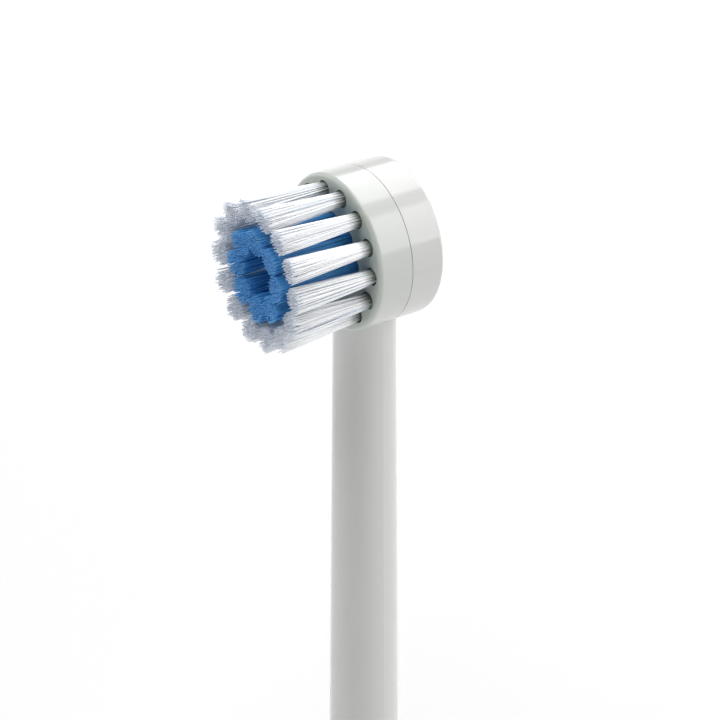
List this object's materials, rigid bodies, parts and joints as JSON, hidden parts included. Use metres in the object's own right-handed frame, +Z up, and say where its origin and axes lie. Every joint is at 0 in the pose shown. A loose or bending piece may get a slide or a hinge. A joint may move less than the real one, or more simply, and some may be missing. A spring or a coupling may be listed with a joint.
{
  "type": "electric toothbrush head",
  "caption": "Round oscillating brush head on a slim neck, with white outer tufts, blue inner tufts, an inner crank drive and a socket in its base for a handle.",
  "frame": {"origin": "centre of the handle socket's mouth, at the base's bottom face", "axes": "+Z up the neck's axis, tufts point to -Y, carrier axle along Y"},
  "size_m": [0.0136, 0.0169, 0.0767],
  "materials": {
    "white_plastic": "glossy moulded white",
    "carrier_plastic": "glossy moulded white",
    "inner_plastic": "plain moulded pale grey",
    "white_nylon": "fine white bristle",
    "blue_nylon": "fine blue bristle",
    "steel": "ground steel",
    "anchor_metal": "cut strip"
  },
  "bodies": {
    "housing": {"neck_housing": "white_plastic", "coupling_sleeve": "inner_plastic", "axle_pin": "steel"},
    "drive": {"drive_shaft": "inner_plastic", "crank_pin": "steel"},
    "brush": {"bristle_carrier": "carrier_plastic", "tuft_anchors": "anchor_metal", "outer_tuft_01": "white_nylon", "outer_tuft_02": "white_nylon", "outer_tuft_03": "white_nylon", "outer_tuft_04": "white_nylon", "outer_tuft_05": "white_nylon", "outer_tuft_06": "white_nylon", "outer_tuft_07": "white_nylon", "outer_tuft_08": "white_nylon", "outer_tuft_09": "white_nylon", "outer_tuft_10": "white_nylon", "outer_tuft_11": "white_nylon", "outer_tuft_12": "white_nylon", "outer_tuft_13": "white_nylon", "outer_tuft_14": "white_nylon", "inner_tuft_01": "blue_nylon", "inner_tuft_02": "blue_nylon", "inner_tuft_03": "blue_nylon", "inner_tuft_04": "blue_nylon", "inner_tuft_05": "blue_nylon", "inner_tuft_06": "blue_nylon", "inner_tuft_07": "blue_nylon", "inner_tuft_08": "blue_nylon"}
  },
  "joints": [
    {"name": "shaft_turn", "type": "hinge", "parent": "housing", "child": "drive", "pos_m": [0, 0, 0.0091], "axis": [0, 0, 1], "range_deg": [-40, 40]},
    {"name": "carrier_swing", "type": "hinge", "parent": "housing", "child": "brush", "pos_m": [0, 0, 0.07], "axis": [0, 1, 0], "range_deg": [-19, 19]}
  ],
  "couplings": [
    {"joint": "shaft_turn", "follows": "carrier_swing", "ratio": 2.1}
  ]
}
